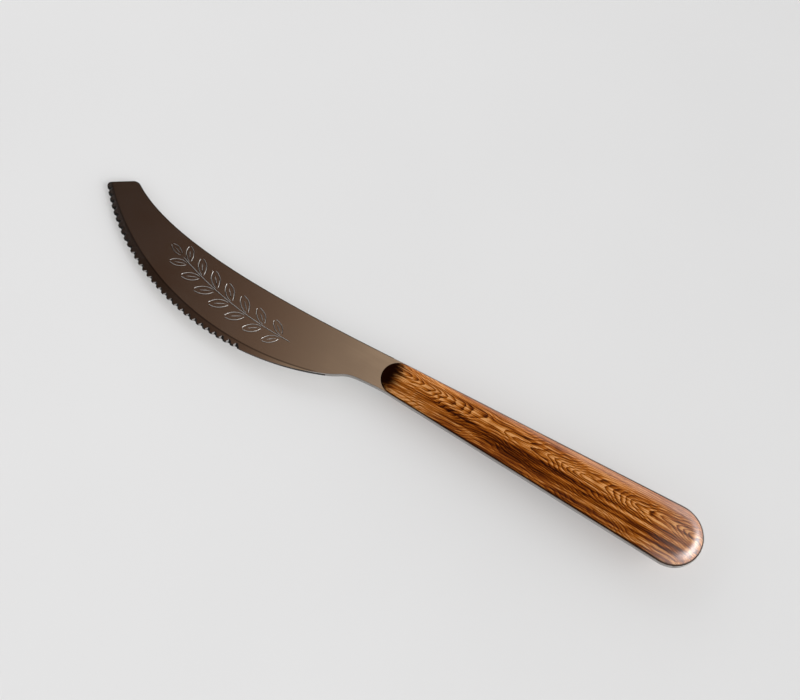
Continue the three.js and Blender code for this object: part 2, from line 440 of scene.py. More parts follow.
@dataclass(frozen=True)
class LacqueredWood(Finish):
    """Streaked brown wood under satin lacquer, with arched figure along a line of its face."""

    edge_height: float
    outward: float
    front: float
    shift: float = 0.0
    figure_line: float = 1.2
    figure_width: float = 4.0
    saddle: float = -15.0
    saddle_length: float = 5.0
    ring_pitch: float = 3.1
    ring_spread: float = 1.45
    apex_width: float = 1.0
    glossy_end: float = 36.0
    belt_place: Point = (-4.0, -2.4)
    belt_size: Point = (30.0, 2.646)
    # where the front's darkening, partly the wood's own tone and partly painted shade, fades out
    front_dark_start: float = 3.3
    front_dark_end: float = 8.5

    def rings(self, sheet: ShaderSheet, along: Wire, across: Wire) -> Wire:
        """Gives the growth rings' count: long nested arches that point at a saddle from both sides.

        Args:
            sheet: The nodes.
            along: Millimetres along the handle.
            across: Millimetres from the figure's middle line.

        Returns:
            The count, which changes by 1 from ring to ring.
        """
        from_saddle = along - self.saddle
        reach = (from_saddle * from_saddle + self.saddle_length**2) ** 0.5
        spread = (across * across + self.apex_width**2) ** 0.5
        ripple = sheet.noise((5, 2, 4), detail=2, shift=self.shift + 1.3) - 0.5
        sway = sheet.noise((14, 5, 9), detail=1, shift=self.shift + 6.1) - 0.5
        return spread * self.ring_spread - reach / self.ring_pitch + ripple * 1.2 + sway * 7

    def grain(self, sheet: ShaderSheet, x: Wire, y: Wire) -> Wire:
        """Gives how light the wood is, from rings, streaks and fibres.

        Args:
            sheet: The nodes.
            x: Millimetres along the handle.
            y: Millimetres across it.

        Returns:
            The tone from 0, dark, to 1, light.
        """
        wander = sheet.noise((40, 60, 60), detail=1, shift=self.shift + 2.2) - 0.5
        across = y - self.figure_line - wander * 2.5
        nearness = (across * across / -(self.figure_width**2)).exponential()
        ring = self.rings(sheet, x, across).fraction()
        late = ring**1.8 * (1 - ring.rise(0.86, 1.0))
        band = sheet.noise((50, 1.4, 6), detail=2, shift=self.shift + 8.8).rise(0.3, 0.7)
        streak = sheet.noise((18, 0.4, 1.2), detail=3, shift=self.shift).rise(0.36, 0.64)
        fibre = sheet.noise((4, 0.16, 0.6), detail=2, shift=self.shift + 4.4).rise(0.3, 0.7)
        vigour = sheet.noise((9, 3, 6), detail=1, shift=self.shift + 7.7).rise(0.3, 0.65)
        beside, above = x - self.belt_place[0], y - self.belt_place[1]
        fading = beside * beside / self.belt_size[0] ** 2 + above * above / self.belt_size[1] ** 2
        belt = (fading * -1.0).exponential()
        tone = 0.13 + band * 0.4 + streak * 0.42 + fibre * 0.26 + nearness * 0.22
        tone = tone - belt * 0.44 + (0 - x).rise(28, 42) * 0.12
        return tone - late * (0.16 + nearness * 0.45 + vigour * 0.42)

    def front_dark_and_shade(self, sheet: ShaderSheet, x: Wire, y: Wire) -> Wire:
        """Gives how far the front end is darkened, from 0 to 1: partly the wood's own dark end, partly
        painted shade.

        Args:
            sheet: The nodes.
            x: Millimetres along the handle.
            y: Millimetres across it.

        Returns:
            The share.
        """
        cloud = sheet.noise((9, 0.9, 3), detail=3, shift=self.shift + 3.1) - 0.5
        to_front = x - self.front
        to_middle = (y + 0.1) * 0.8
        spread = (to_front * to_front + to_middle * to_middle) ** 0.5
        return 1 - (spread + cloud * 5).rise(self.front_dark_start, self.front_dark_end)

    def colour(self, sheet: ShaderSheet, x: Wire, y: Wire) -> Wire:
        """Gives the wood's colour: grain, and painted light that makes the far side lighter and
        redder.

        Args:
            sheet: The nodes.
            x: Millimetres along the handle.
            y: Millimetres across it.

        Returns:
            The colour.
        """
        stops = [
            (0.0, paint(34, 9, 1)),
            (0.25, paint(82, 33, 3)),
            (0.5, paint(130, 65, 10)),
            (0.75, paint(170, 100, 34)),
            (1.0, paint(208, 150, 90)),
        ]
        colour = sheet.add("ShaderNodeValToRGB", {"stops": stops}, {0: self.grain(sheet, x, y)})
        # painted light: the far side made lighter and redder
        cloud = sheet.noise((12, 1.6, 4), detail=2, shift=self.shift + 9.4)
        far_side_light = (y + cloud * 4).rise(3.5, 9.0)
        return sheet.blend(far_side_light * 0.4, colour, paint(178, 102, 48))

    def surface(self, sheet: ShaderSheet) -> Wire:
        """Builds the wood under its coat, with painted shade where it meets the steel.

        Args:
            sheet: The nodes.

        Returns:
            The shader.
        """
        x, y, z = (axis / MM for axis in sheet.axes(sheet.place()))
        pore = sheet.noise((2.2, 0.09, 0.3), detail=1, shift=self.shift + 5.9).rise(0.57, 0.68)
        # painted shade on the lowest part of the scale's edge, where the wood meets the steel
        seam_shade = 1 - ((z - self.edge_height) * self.outward).rise(0.1, 0.7)
        front_dark_and_shade = self.front_dark_and_shade(sheet, x, y)
        colour = sheet.blend(pore * 0.55, self.colour(sheet, x, y), paint(40, 14, 2))
        # the front end darkened: partly its own dark tone, partly painted shade
        colour = sheet.blend(front_dark_and_shade, colour, paint(22, 6, 2))
        gloss = 0.02 + x.rise(self.glossy_end, self.glossy_end + 14) * 0.9 + y.rise(4, 7) * 0.55
        inputs = {
            "Base Color": sheet.blend(seam_shade * 0.94, colour, paint(10, 5, 3)),
            "Roughness": 0.5,
            "Specular IOR Level": 0.0,
            "Coat Weight": gloss.least(1.0) * (1 - pore * 0.3) * (1 - seam_shade * 0.7) * (1 - front_dark_and_shade),
            "Coat Roughness": 0.43,
            "Coat IOR": 2.6,
            "Normal": sheet.bump(pore * -1.0, 0.01),
        }
        return sheet.add("ShaderNodeBsdfPrincipled", None, inputs)


@dataclass(frozen=True)
class Adhesive(Finish):
    """Dark cured adhesive with a few cloudy spots."""

    def surface(self, sheet: ShaderSheet) -> Wire:
        """Builds a dull dark film.

        Args:
            sheet: The nodes.

        Returns:
            The shader.
        """
        cloud = sheet.noise((1.5, 1.5, 0.4), detail=3)
        inputs = {
            "Base Color": sheet.blend(cloud, paint(22, 16, 11), paint(52, 40, 30)),
            "Roughness": 0.45 + cloud * 0.3,
        }
        return sheet.add("ShaderNodeBsdfPrincipled", None, inputs)


@dataclass(frozen=True)
class TableTop(Finish):
    """Pale matt table that the knife lies on."""

    evenness: float = 0.38

    def surface(self, sheet: ShaderSheet) -> Wire:
        """Builds an almost even off-white, with painted shade towards the right, that keeps some of
        its paleness in the shade.

        Args:
            sheet: The nodes.

        Returns:
            The shader.
        """
        cloud = sheet.noise((90, 90, 90), detail=2)
        x, y, _ = sheet.axes(sheet.place())
        # painted shade: the table darker towards the right, as light falls off
        painted_falloff = (x * 0.87 + y * 0.5).rise(-0.2, 0.2)
        shade = cloud * 0.3 + painted_falloff * 0.7
        pale = sheet.blend(shade, paint(230, 230, 229), paint(214, 214, 213))
        inputs = {"Base Color": pale, "Roughness": 0.7, "Specular IOR Level": 0.2}
        lit = sheet.add("ShaderNodeBsdfPrincipled", None, inputs)
        even = sheet.add("ShaderNodeEmission", None, {"Color": pale})
        share = sheet.seen() * self.evenness
        return sheet.add("ShaderNodeMixShader", None, {0: share, 1: lit, 2: even})


POLISHED_STEEL = Steel("polished_steel", (0.64, 0.615, 0.585), (0.58, 0.555, 0.525), 0.1, 0.17)
SHEARED_STEEL = Steel("sheared_steel", (0.45, 0.435, 0.42), (0.34, 0.33, 0.315), 0.4, 0.5)
# Lit and shaded copies of the steel: painted glints on teeth, painted shade on the butt's rim, painted
# shade and dark reflection on rim, edge and groove walls.
PAINTED_GLINT = Steel("painted_glint_steel", (0.36, 0.345, 0.33), (0.26, 0.25, 0.24), 0.4, 0.5)
BUTT_PAINTED_SHADE = Steel("butt_painted_shade_steel", (0.29, 0.28, 0.27), (0.22, 0.215, 0.205), 0.4, 0.5)
PAINTED_SHADE = Steel("painted_shade_steel", (0.03, 0.027, 0.024), (0.012, 0.011, 0.01), 0.4, 0.5)
ETCHED_STEEL = Steel("etched_steel", (0.6, 0.58, 0.55), (0.48, 0.46, 0.44), 0.42, 0.52)
PIN_STEEL = Steel("pin_steel", (0.6, 0.59, 0.57), (0.5, 0.49, 0.47), 0.3, 0.4)
ADHESIVE = Adhesive("bond_adhesive")
TABLE_TOP = TableTop("table_top")


# Modelling by hand tools

class OutlinePen:
    """Draws an outline in edit mode by drawing one vertex out from point to point."""

    def __init__(self, name: str, start: Point, height: float) -> None:
        """Puts the first vertex down.

        Args:
            name: Name of the new object.
            start: The first point in millimetres.
            height: Height of the outline in millimetres.
        """
        bpy.ops.object.select_all(action="DESELECT")
        bpy.ops.mesh.primitive_plane_add(size=MM, location=(start[0] * MM, start[1] * MM, height * MM))
        self.piece = bpy.context.object
        self.piece.name = name
        bpy.ops.object.transform_apply(location=True, rotation=False, scale=False)
        bpy.ops.object.mode_set(mode="EDIT")
        bpy.ops.mesh.select_all(action="SELECT")
        bpy.ops.mesh.merge(type="CENTER")
        self.tip = start
        self.height = height

    def line_to(self, end: Point, height: float | None = None) -> None:
        """Draws a straight line.

        Args:
            end: The line's end in millimetres.
            height: Its height, where that changes.
        """
        rise = 0.0 if height is None else height - self.height
        step = (end[0] - self.tip[0], end[1] - self.tip[1], rise)
        move = {"value": tuple(part * MM for part in step)}
        bpy.ops.mesh.extrude_vertices_move(TRANSFORM_OT_translate=move)
        self.tip = end
        self.height += rise

    def curve_to(self, pulls: list[Point], end: Point, steps: int) -> None:
        """Draws a curve that one or two points pull on.

        Args:
            pulls: The points that shape the curve.
            end: The curve's end.
            steps: Number of straight steps.
        """
        shape = [self.tip, *pulls, end]
        for step in range(1, steps + 1):
            self.line_to(curve_point(shape, step / steps))

    def arc(self, centre: Point, turn: float, steps: int) -> None:
        """Draws an arc about a centre.

        Args:
            centre: The arc's centre.
            turn: Angle in radians, positive counterclockwise seen from above.
            steps: Number of straight steps.
        """
        self.sweep(centre, turn, steps)
        reach = math.dist(centre, self.tip)
        start = math.atan2(self.tip[1] - centre[1], self.tip[0] - centre[0])
        self.tip = polar(centre, start + turn, reach)

    @staticmethod
    def sweep(centre: Point, turn: float, steps: int) -> None:
        """Draws what is selected round an upright axis.

        Args:
            centre: Where the axis stands.
            turn: Angle in radians, positive counterclockwise seen from above.
            steps: Number of straight steps.
        """
        middle = (centre[0] * MM, centre[1] * MM, 0)
        bpy.ops.mesh.spin(steps=steps, angle=turn, center=middle, axis=(0, 0, -1))

    def fill(self) -> None:
        """Closes the outline with one face and leaves it selected."""
        bpy.ops.mesh.select_all(action="SELECT")
        bpy.ops.mesh.remove_doubles(threshold=MM * 0.001)
        bpy.ops.mesh.edge_face_add()

    def pull(self, move: tuple[float, float, float]) -> None:
        """Draws the selected face out.

        Args:
            move: How far along X, Y and Z in millimetres.
        """
        value = tuple(part * MM for part in move)
        bpy.ops.mesh.extrude_region_move(TRANSFORM_OT_translate={"value": value})

    def done(self) -> bpy.types.Object:
        """Turns all faces outwards and leaves edit mode.

        Returns:
            The object.
        """
        bpy.ops.mesh.select_all(action="SELECT")
        bpy.ops.mesh.normals_make_consistent(inside=False)
        bpy.ops.object.mode_set(mode="OBJECT")
        return self.piece


class Bench:
    """Tools that work on whole pieces."""

    @staticmethod
    def pick(*pieces: bpy.types.Object) -> None:
        """Selects pieces alone, with the first one active.

        Args:
            pieces: The pieces.
        """
        bpy.ops.object.select_all(action="DESELECT")
        for piece in pieces:
            piece.select_set(True)
        bpy.context.view_layer.objects.active = pieces[0]

    @classmethod
    def copies(cls, model: bpy.types.Object, places: list[Matrix]) -> bpy.types.Object:
        """Copies a model to several places and joins the copies.

        Args:
            model: The piece to copy, which is used up.
            places: Where each copy goes, in metres.

        Returns:
            The joined copies, as one object at the origin.
        """
        made = [model]
        for _ in places[1:]:
            cls.pick(model)
            bpy.ops.object.duplicate(linked=False)
            made.append(bpy.context.object)
        for piece, place in zip(made, places):
            piece.matrix_world = place
        cls.pick(*made)
        bpy.ops.object.transform_apply(location=True, rotation=True, scale=True)
        if len(made) > 1:
            bpy.ops.object.join()
        return bpy.context.object

    @classmethod
    def cut(cls, piece: bpy.types.Object, cutter: bpy.types.Object) -> None:
        """Cuts one piece with another, which is used up.

        Args:
            piece: The piece that is cut.
            cutter: The shape that is taken out of it.
        """
        cls.pick(piece)
        tool = piece.modifiers.new("cut", "BOOLEAN")
        tool.operation = "DIFFERENCE"
        tool.solver = "EXACT"
        tool.object = cutter
        bpy.ops.object.modifier_apply(modifier=tool.name)
        bpy.data.objects.remove(cutter)

    @classmethod
    def smooth(cls, piece: bpy.types.Object, angle: float) -> None:
        """Merges doubles and shades a piece smooth, with flat faces kept flat.

        Args:
            piece: The piece.
            angle: Edges sharper than this stay sharp, in degrees.
        """
        cls.pick(piece)
        bpy.ops.object.mode_set(mode="EDIT")
        bpy.ops.mesh.select_all(action="SELECT")
        bpy.ops.mesh.remove_doubles(threshold=MM * 0.001)
        bpy.ops.object.mode_set(mode="OBJECT")
        bpy.ops.object.shade_smooth_by_angle(angle=math.radians(angle))
        level = piece.modifiers.new("level", "WEIGHTED_NORMAL")
        level.mode = "FACE_AREA"
        level.weight = 100
        level.keep_sharp = True
        bpy.ops.object.modifier_apply(modifier=level.name)

    @staticmethod
    def dress(piece: bpy.types.Object, slot: str, finish: Finish, *replaced: str) -> None:
        """Gives a piece its finish and its place in the part.

        Args:
            piece: The piece.
            slot: The name of a material slot; not used.
            finish: The finish.
            replaced: CAD nodes that the piece stands for.
        """
        piece.data.materials.clear()
        piece.data.materials.append(finish.material())
        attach(piece, BODY)
        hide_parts(*replaced)
        LOG.info("%s: %d faces", piece.name, len(piece.data.polygons))


@dataclass
class HandlePlan:
    """Outline that the scales and the tang share: a taper with round ends."""

    front: float
    butt: float
    front_radius: float
    butt_radius: float

    @property
    def front_centre(self) -> Point:
        """Centre of the front's round end."""
        return self.front + self.front_radius, 0.0

    @property
    def butt_centre(self) -> Point:
        """Centre of the butt's round end."""
        return self.butt - self.butt_radius, 0.0

    @property
    def turn(self) -> float:
        """Direction from either centre to where the straight side starts."""
        gap = self.butt_centre[0] - self.front_centre[0]
        return math.pi / 2 + math.asin((self.butt_radius - self.front_radius) / gap)


@dataclass
class PinRow:
    """Holes for the hidden pins, along the handle's middle line."""

    radius: float
    pitch: float
    count: int

    @classmethod
    def from_frame(cls) -> "PinRow":
        """Takes the sizes from the pins in the frame.

        Returns:
            The row.
        """
        low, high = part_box("middle_pin")
        rear_low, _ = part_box("rear_pin")
        clearance = 0.1
        return cls((high.x - low.x) / 2 / MM + clearance, (rear_low.x - low.x) / MM, 3)

    def cutter(self, low: float, high: float) -> bpy.types.Object:
        """Models one round bar and copies it along the row.

        Args:
            low: Lower end of the bars.
            high: Upper end of the bars.

        Returns:
            The bars, as one cutter.
        """
        bpy.ops.object.select_all(action="DESELECT")
        depth = (high - low) * MM
        bpy.ops.mesh.primitive_cylinder_add(vertices=48, radius=self.radius * MM, depth=depth)
        middle = (low + high) / 2 * MM
        first = -(self.count - 1) / 2
        places = [
            Matrix.Translation(((first + index) * self.pitch * MM, 0, middle))
            for index in range(self.count)
        ]
        return Bench.copies(bpy.context.object, places)


@dataclass
class Sprig:
    """Leafy twig engraved as fine V-shaped grooves in the side of the blade."""

    surface: float
    start: Point = (-129.0, 0.4)
    middle: Point = (-108.0, -5.2)
    end: Point = (-84.0, -6.9)
    groove_width: float = 0.3
    groove_depth: float = 0.13
    leaf_length: float = 7.2
    leaf_width: float = 2.7
    leaf_pairs: int = 7
    leaf_angle: float = math.radians(38)
    leaf_gap: float = 0.7
    vein_share: float = 0.55
    smallest: float = 0.62
    bright_side: Point = (0.6, -0.8)

    def nib(self, name: str, place: Point, heading: float) -> OutlinePen:
        """Sets a diamond across the groove's direction, ready to be drawn along it.

        Args:
            name: Name of the cutter.
            place: The groove's start.
            heading: The groove's direction.

        Returns:
            The pen, with the diamond selected.
        """
        half = self.groove_width / 2
        side = heading + math.pi / 2
        pen = OutlinePen(name, polar(place, side, half), self.surface)
        pen.line_to(place, self.surface + self.groove_depth)
        pen.line_to(polar(place, side, -half), self.surface)
        pen.line_to(place, self.surface - self.groove_depth)
        pen.fill()
        return pen

    @staticmethod
    def sharpen(pen: OutlinePen, sides: int = 4) -> bpy.types.Object:
        """Draws both ends of a groove's cutter to a point.

        Args:
            pen: The pen that drew the cutter, with the last end selected.
            sides: Number of vertices at the first end.

        Returns:
            The cutter.
        """
        bpy.ops.mesh.merge(type="CENTER")
        bpy.ops.object.mode_set(mode="OBJECT")
        for vertex in pen.piece.data.vertices:
            vertex.select = vertex.index < sides
        bpy.ops.object.mode_set(mode="EDIT")
        bpy.ops.mesh.merge(type="CENTER")
        return pen.done()

    def arc_groove(
        self, place: Point, heading: float, centre: Point, turn: float, steps: int
    ) -> bpy.types.Object:
        """Models the cutter of a curved groove.

        Args:
            place: The groove's start.
            heading: Its direction there.
            centre: Centre of its curve.
            turn: How far it turns about the centre.
            steps: Number of straight steps.

        Returns:
            The cutter.
        """
        pen = self.nib("groove", place, heading)
        pen.sweep(centre, turn, steps)
        return self.sharpen(pen)

    def vein(self) -> bpy.types.Object:
        """Models the cutter of a leaf's straight middle vein.

        Returns:
            The cutter.
        """
        length = self.leaf_length * self.vein_share
        pen = self.nib("groove", ((self.leaf_length - length) / 3, 0.0), 0.0)
        for _ in range(3):
            pen.pull((length / 3, 0, 0))
        return self.sharpen(pen)

    def leaf(self) -> bpy.types.Object:
        """Models the cutter of one leaf along +X: two curved sides and a vein.

        Returns:
            The cutter.
        """
        half_length, half_width = self.leaf_length / 2, self.leaf_width / 2
        radius = (half_length**2 + half_width**2) / 2 / half_width
        half_turn = math.asin(half_length / radius)
        gap = 0.12 * half_turn
        strokes = [self.vein()]
        for side in (1, -1):
            centre = (half_length, side * (half_width - radius))
            start = polar(centre, side * (math.pi / 2 + half_turn - gap), radius)
            heading = side * (half_turn - gap)
            strokes.append(self.arc_groove(start, heading, centre, side * 2 * (gap - half_turn), 14))
        Bench.pick(*strokes)
        bpy.ops.object.join()
        return bpy.context.object

    def places(self, centre: Point, radius: float, first: float, turn: float) -> list[Matrix]:
        """Lists where the leaves go: pairs along the stem and one at its end.

        Args:
            centre: Centre of the stem's curve.
            radius: Radius of the stem's curve.
            first: Direction from the centre to the stem's leafy end.
            turn: How far the stem turns.

        Returns:
            One matrix for each leaf.
        """
        made = []
        for pair in range(self.leaf_pairs):
            share = (pair + 0.55) / self.leaf_pairs
            size = self.smallest + (1 - self.smallest) * math.sin(math.pi * (0.18 + 0.64 * share))
            root = first + turn * share
            ahead = root - math.copysign(math.pi / 2, turn)
            for side in (1, -1):
                angle = ahead + side * self.leaf_angle
                base = polar(polar(centre, root, radius), angle, self.leaf_gap)
                made.append(self.leaf_place(base, angle, size))
        ahead = first - math.copysign(math.pi / 2, turn)
        base = polar(polar(centre, first, radius), ahead, self.leaf_gap)
        made.append(self.leaf_place(base, ahead, self.smallest + 0.15))
        return made

    @staticmethod
    def leaf_place(base: Point, angle: float, size: float) -> Matrix:
        """Gives the matrix that puts a leaf at a point, turned and scaled in the plane."""
        spot = Matrix.Translation((base[0] * MM, base[1] * MM, 0))
        return spot @ Matrix.Rotation(angle, 4, "Z") @ Matrix.Diagonal((size, size, 1, 1))

    def is_bright(self, face: bpy.types.MeshPolygon) -> bool:
        """Tells whether a groove's wall faces the side that catches the light."""
        return face.normal.x * self.bright_side[0] + face.normal.y * self.bright_side[1] > 0

    def cutter(self) -> bpy.types.Object:
        """Models all grooves as one cutter.

        Returns:
            The cutter.
        """
        centre = circle_centre(self.start, self.middle, self.end)
        radius = math.dist(centre, self.start)
        first = math.atan2(self.start[1] - centre[1], self.start[0] - centre[0])
        last = math.atan2(self.end[1] - centre[1], self.end[0] - centre[0])
        turn = last - first
        heading = first + math.copysign(math.pi / 2, turn)
        stem = self.arc_groove(self.start, heading, centre, turn, 48)
        leaves = Bench.copies(self.leaf(), self.places(centre, radius, first, turn))
        Bench.pick(stem, leaves)
        bpy.ops.object.join()
        return bpy.context.object


class Skin(IntEnum):
    """Finishes of the blade's faces, numbered as its material slots."""

    POLISHED = 0
    SHEARED = 1
    # painted shade and dark reflection
    DARK = 2
    ETCHED = 3
    # painted glints
    GLINT = 4
    # painted shade on the rim round the butt
    BUTT = 5


@dataclass
class Blade:
    """Blade, neck and tang in one stamped sheet of steel.

    Tilts are the Z parts of the faces' normals: 0 on an upright face and 1 on a level one.
    """

    tang: HandlePlan
    pins: PinRow
    bottom: float
    top: float
    blade_length: float
    belly_depth: float
    scale_front: float
    edge_radius: float = 86.2
    belly_forward: float = 48.5
    heel_forward: float = 14.7
    tip_cut_length: float = 10.32
    tip_cut_angle: float = math.radians(34.8)
    tip_spine_setback: float = 1.8
    tip_edge_setback: float = 2.0
    spine_neck_reach: float = 36.0
    spine_neck_angle: float = math.radians(2.9)
    spine_tip_reach: float = 28.0
    spine_tip_angle: float = math.radians(-31)
    neck_forward: float = 5.5
    neck_depth: float = 6.4
    neck_angle: float = math.radians(6)
    heel_reach: float = 4.6
    neck_reach: float = 3.0
    belly_bevel: float = 2.3
    tip_bevel: float = 1.6
    edge_thickness: float = 0.5
    tooth_count: int = 29
    tooth_pitch: float = 2.62
    first_notch: float = 2.7
    notch_depth: float = 0.85
    notch_width: float = 2.4
    notch_throat: float = 0.9
    notch_lean: float = math.radians(45)
    glint_start: float = -0.5
    glint_turn: float = 0.52
    upright_tilt: float = 0.3
    notch_tilt: float = 0.9
    groove_tilt: float = 0.96
    level_tilt: float = 0.99
    rim_reach: float = 0.6
    butt_rim_start: float = 4.0
    rim_rounding: float = 0.3
    overcut: float = 2.0

    @property
    def edge_centre(self) -> Point:
        """Centre of the cutting edge's arc."""
        return self.scale_front - self.belly_forward, self.edge_radius - self.belly_depth

    @property
    def thickness(self) -> float:
        """Thickness of the sheet."""
        return self.top - self.bottom

    def edge_turn(self, forward: float) -> float:
        """Gives an edge point's angle about the arc's centre, from straight down.

        Args:
            forward: How far the point lies in front of the scales.

        Returns:
            The angle in radians.
        """
        return math.asin((self.belly_forward - forward) / self.edge_radius)

    def near_edge(self, turn: float, outside: float) -> Point:
        """Gives the point outside the cutting edge at an angle from straight down."""
        return polar(self.edge_centre, turn - math.pi / 2, self.edge_radius + outside)

    def edge_point(self, turn: float) -> Point:
        """Gives the point on the cutting edge at an angle from straight down."""
        return self.near_edge(turn, 0.0)

    @property
    def tip_corner(self) -> Point:
        """Where the tip's slanted cut would meet the cutting edge."""
        return self.edge_point(self.edge_turn(self.blade_length))

    @property
    def spine_corner(self) -> Point:
        """Where the tip's slanted cut would meet the spine."""
        return polar(self.tip_corner, self.tip_cut_angle, self.tip_cut_length)

    @property
    def spine(self) -> list[Point]:
        """Shape of the spine.

        Returns:
            Its start at the tang, two points that pull on it, and its end.
        """
        shoulder = polar(self.tang.front_centre, self.tang.turn, self.tang.front_radius)
        return [
            shoulder,
            polar(shoulder, math.pi + self.spine_neck_angle, self.spine_neck_reach),
            polar(self.spine_corner, self.spine_tip_angle, self.spine_tip_reach),
            polar(self.spine_corner, self.spine_tip_angle, self.tip_spine_setback),
        ]

    def draw_spine(self, pen: OutlinePen) -> None:
        """Draws the tang's butt and upper side, the spine and the slanted tip.

        Args:
            pen: The pen, at the tang's lower rear end.
        """
        tang = self.tang
        pen.arc(tang.butt_centre, 2 * tang.turn, 64)
        shoulder, *pulls, end = self.spine
        pen.line_to(shoulder)
        pen.curve_to(pulls, end, 72)
        corner = self.spine_corner
        pen.curve_to([corner], polar(corner, self.tip_cut_angle, -self.tip_spine_setback), 20)
        pen.line_to(polar(self.tip_corner, self.tip_cut_angle, self.tip_edge_setback))

    def draw_edge(self, pen: OutlinePen) -> None:
        """Draws the cutting edge, the heel and the neck's lower side.

        Args:
            pen: The pen, at the tip's cut.
        """
        tip_turn = self.edge_turn(self.blade_length)
        heel_turn = self.edge_turn(self.heel_forward)
        edge_start = tip_turn + self.tip_edge_setback / self.edge_radius
        pen.curve_to([self.edge_point(tip_turn)], self.edge_point(edge_start), 8)
        pen.arc(self.edge_centre, heel_turn - edge_start, 120)
        heel = self.edge_point(heel_turn)
        neck = (self.scale_front - self.neck_forward, -self.neck_depth)
        shoulder = polar(self.tang.front_centre, -self.tang.turn, self.tang.front_radius)
        taper = self.tang.turn - math.pi / 2
        heel_pulls = [
            polar(heel, heel_turn, self.heel_reach),
            polar(neck, self.neck_angle, -self.heel_reach),
        ]
        neck_pulls = [
            polar(neck, self.neck_angle, self.neck_reach),
            polar(shoulder, math.pi - taper, self.neck_reach),
        ]
        pen.curve_to(heel_pulls, neck, 24)
        pen.curve_to(neck_pulls, shoulder, 16)

    def blank(self) -> bpy.types.Object:
        """Models the stamped sheet with its rim slightly rounded.

        Returns:
            The sheet.
        """
        start = polar(self.tang.butt_centre, -self.tang.turn, self.tang.butt_radius)
        pen = OutlinePen("polished_blade", start, self.bottom)
        self.draw_spine(pen)
        self.draw_edge(pen)
        pen.fill()
        pen.pull((0, 0, self.thickness))
        bpy.ops.mesh.select_all(action="SELECT")
        bpy.ops.mesh.normals_make_consistent(inside=False)
        bpy.ops.mesh.select_mode(type="EDGE")
        bpy.ops.mesh.select_all(action="DESELECT")
        bpy.ops.mesh.edges_select_sharp(sharpness=math.radians(80))
        bpy.ops.mesh.bevel(offset=self.rim_rounding * MM, segments=5, affect="EDGES")
        bpy.ops.mesh.select_mode(type="VERT")
        return pen.done()

    def bevel_top(self) -> tuple[Point, Point, Point]:
        """Gives the line where the bevel meets the flat.

        Returns:
            Its places at tip, belly and heel.
        """
        tip_turn = self.edge_turn(self.blade_length)
        tip = polar(self.edge_point(tip_turn), tip_turn + math.pi / 2, self.tip_bevel)
        belly = polar(self.edge_point(0), math.pi / 2, self.belly_bevel)
        return tip, belly, self.edge_point(self.edge_turn(self.heel_forward))

    def polish(self) -> SteelWithPaintedGrindLine:
        """Gives the polish a painted dark line, for the dark reflection, at the top of the bevel.

        Returns:
            The finish.
        """
        tip, belly, heel = self.bevel_top()
        centre = circle_centre(heel, belly, tip)
        return SteelWithPaintedGrindLine(*astuple(POLISHED_STEEL), centre, math.dist(centre, heel), heel[0])

    def grinder(self, is_upper: bool) -> bpy.types.Object:
        """Models the cone that grinds the bevel on one face.

        Args:
            is_upper: Whether it is the upper face.

        Returns:
            The cutter.
        """
        tip, belly, heel = self.bevel_top()
        centre = circle_centre(heel, belly, tip)
        radius = math.dist(centre, heel)
        slope = (self.thickness - self.edge_thickness) / 2 / self.belly_bevel
        reach = self.belly_bevel + self.overcut
        up = 1 if is_upper else -1
        face = self.top if is_upper else self.bottom
        lid = face + up * self.overcut * slope
        first = math.atan2(tip[1] - centre[1], tip[0] - centre[0]) - 0.12
        last = math.atan2(heel[1] - centre[1], heel[0] - centre[0])
        pen = OutlinePen("grinder", polar(centre, first, radius - self.overcut), lid)
        pen.line_to(polar(centre, first, radius + reach), face - up * reach * slope)
        pen.line_to(polar(centre, first, radius + reach), lid)
        pen.fill()
        pen.sweep(centre, last - first, 160)
        return pen.done()

    def teeth_cutter(self) -> bpy.types.Object:
        """Models the scalloped band that cuts the teeth and leans inwards as it rises.

        Returns:
            The cutter.
        """
        radius = self.edge_radius
        mouth, throat = self.notch_width / 2, self.notch_throat / 2
        tall = self.thickness + 2 * self.overcut
        sill = math.tan(self.notch_lean) * tall / 2
        back = sill - self.notch_depth
        start = self.edge_turn(self.blade_length) + self.first_notch / radius
        first = self.near_edge(start - mouth / radius, sill)
        pen = OutlinePen("teeth", first, self.bottom - self.overcut)
        for notch in range(self.tooth_count):
            turn = start + notch * self.tooth_pitch / radius
            inner, outer = throat / radius, (mouth - throat) / radius
            pen.line_to(self.near_edge(turn - mouth / radius, sill))
            falling = [self.near_edge(turn - outer, sill), self.near_edge(turn - inner, back)]
            pen.curve_to(falling, self.near_edge(turn, back), 8)
            rising = [self.near_edge(turn + inner, back), self.near_edge(turn + outer, sill)]
            pen.curve_to(rising, self.near_edge(turn + mouth / radius, sill), 8)
        last = start + ((self.tooth_count - 1) * self.tooth_pitch + mouth) / radius
        pen.line_to(self.near_edge(last, sill + self.overcut))
        pen.arc(self.edge_centre, start - mouth / radius - last, 60)
        pen.fill()
        pen.pull((0, 0, tall))
        shrink = (radius - sill) / (radius + sill)
        middle = (self.edge_centre[0] * MM, self.edge_centre[1] * MM, 0)
        bpy.ops.transform.resize(value=(shrink, shrink, 1), center_override=middle)
        return pen.done()

    def build(self) -> bpy.types.Object:
        """Models the blade: blank, bevels, teeth, pin holes and engraved sprig.

        Returns:
            The blade.
        """
        blade = self.blank()
        Bench.cut(blade, self.grinder(True))
        Bench.cut(blade, self.grinder(False))
        Bench.cut(blade, self.teeth_cutter())
        Bench.cut(blade, self.pins.cutter(self.bottom - self.overcut, self.top + self.overcut))
        sprig = Sprig(self.top)
        Bench.cut(blade, sprig.cutter())
        Bench.smooth(blade, angle=9)
        Bench.dress(blade, "blade_steel", self.polish(), "blade")
        self.mark_faces(blade, sprig)
        return blade

